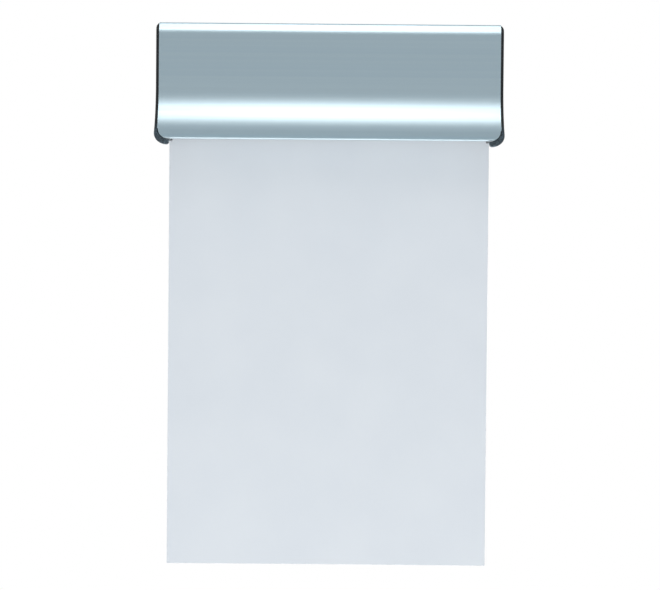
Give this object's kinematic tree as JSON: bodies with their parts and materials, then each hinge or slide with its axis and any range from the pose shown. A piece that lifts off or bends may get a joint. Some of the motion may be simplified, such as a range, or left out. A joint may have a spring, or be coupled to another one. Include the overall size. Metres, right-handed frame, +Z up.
{
  "type": "clip rail",
  "caption": "Wall-mounted aluminium clip rail with dark plastic end caps; gravity rollers in a wedge grip the top edge of a hanging sheet.",
  "frame": {"origin": "centre of the adhesive strip's outer face, on the wall", "axes": "+Z up, +Y out of the back into the wall, so the front faces -Y, +X to the viewer's right along the rail"},
  "size_m": [0.1126, 0.0223, 0.1772],
  "materials": {
    "satin_aluminium": "satin, silver anodised",
    "cap_plastic": "fine moulded texture",
    "core_steel": "turned",
    "sleeve_rubber": "matt",
    "foam_tape": "foam with tacky face",
    "sheet_card": "smooth matt card"
  },
  "bodies": {
    "rail": {"rail_profile": "satin_aluminium", "end_cap_left": "cap_plastic", "end_cap_right": "cap_plastic", "adhesive_strip": "foam_tape"},
    "roller_1": {"roller_core_1": "core_steel"},
    "roller_2": {"roller_core_2": "core_steel"},
    "roller_3": {"roller_core_3": "core_steel"},
    "roller_4": {"roller_core_4": "core_steel"},
    "sleeve_1": {"roller_sleeve_1": "sleeve_rubber"},
    "sleeve_2": {"roller_sleeve_2": "sleeve_rubber"},
    "sleeve_3": {"roller_sleeve_3": "sleeve_rubber"},
    "sleeve_4": {"roller_sleeve_4": "sleeve_rubber"},
    "sheet": {"sheet": "sheet_card"}
  },
  "joints": [
    {"name": "roller_1_lift", "type": "slide", "parent": "rail", "child": "roller_1", "axis": [0, -0.5299, 0.848], "range_m": [0, 0.0043]},
    {"name": "roller_2_lift", "type": "slide", "parent": "rail", "child": "roller_2", "axis": [0, -0.5299, 0.848], "range_m": [0, 0.0043]},
    {"name": "roller_3_lift", "type": "slide", "parent": "rail", "child": "roller_3", "axis": [0, -0.5299, 0.848], "range_m": [0, 0.0043]},
    {"name": "roller_4_lift", "type": "slide", "parent": "rail", "child": "roller_4", "axis": [0, -0.5299, 0.848], "range_m": [0, 0.0043]},
    {"name": "sleeve_1_turn", "type": "hinge", "parent": "roller_1", "child": "sleeve_1", "pos_m": [-0.04133, -0.00585, -0.0119], "axis": [1, 0, 0], "continuous": true},
    {"name": "sleeve_2_turn", "type": "hinge", "parent": "roller_2", "child": "sleeve_2", "pos_m": [-0.01378, -0.00585, -0.0119], "axis": [1, 0, 0], "continuous": true},
    {"name": "sleeve_3_turn", "type": "hinge", "parent": "roller_3", "child": "sleeve_3", "pos_m": [0.01378, -0.00585, -0.0119], "axis": [1, 0, 0], "continuous": true},
    {"name": "sleeve_4_turn", "type": "hinge", "parent": "roller_4", "child": "sleeve_4", "pos_m": [0.04133, -0.00585, -0.0119], "axis": [1, 0, 0], "continuous": true},
    {"name": "sheet_pull", "type": "slide", "parent": "rail", "child": "sheet", "axis": [0, 0, -1], "range_m": [-0.0066, 0.012]}
  ]
}
